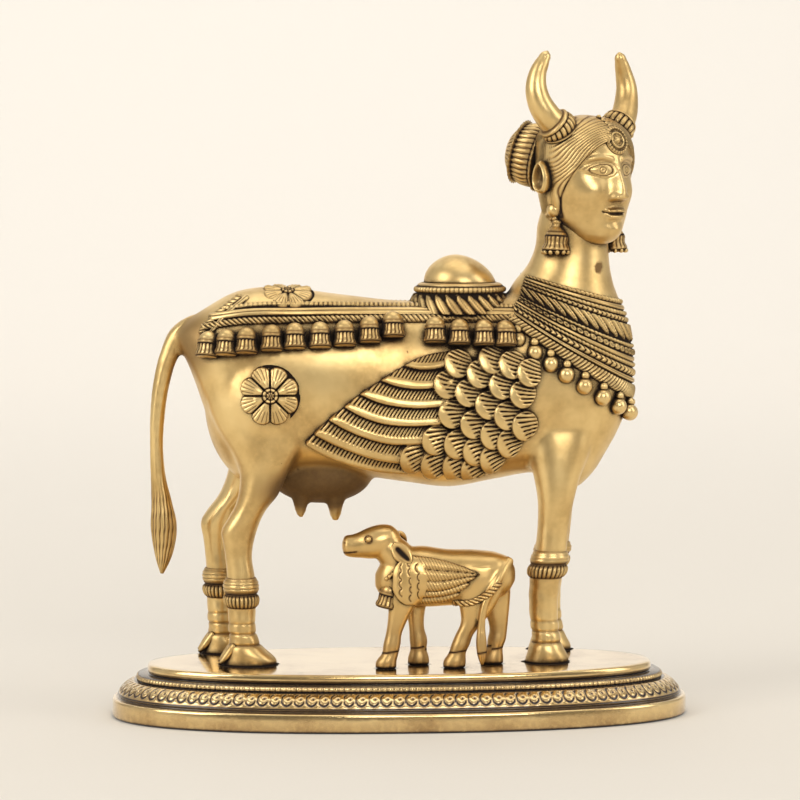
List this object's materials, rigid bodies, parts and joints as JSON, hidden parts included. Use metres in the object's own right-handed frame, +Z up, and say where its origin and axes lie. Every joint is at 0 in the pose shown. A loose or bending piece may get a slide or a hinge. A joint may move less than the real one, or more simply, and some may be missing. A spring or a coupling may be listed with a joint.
{
  "type": "kamdhenu cow statue",
  "caption": "Brass Kamdhenu statue: winged, garlanded cow with a woman's head and horns, her calf beside her, on an oval moulded plinth.",
  "frame": {"origin": "centre of the underside of the plinth", "axes": "+Z up, +X along the plinth from the cow's tail to her chest, -Y towards the side where the calf stands"},
  "size_m": [0.1806, 0.086, 0.2075],
  "materials": {
    "brass_plinth": "polished with dark patina in the recesses",
    "brass_cow": "polished with dark patina in the recesses",
    "brass_calf": "polished with dark patina in the recesses"
  },
  "bodies": {
    "root": {"plinth": "brass_plinth", "cow": "brass_cow", "calf": "brass_calf"}
  },
  "joints": []
}
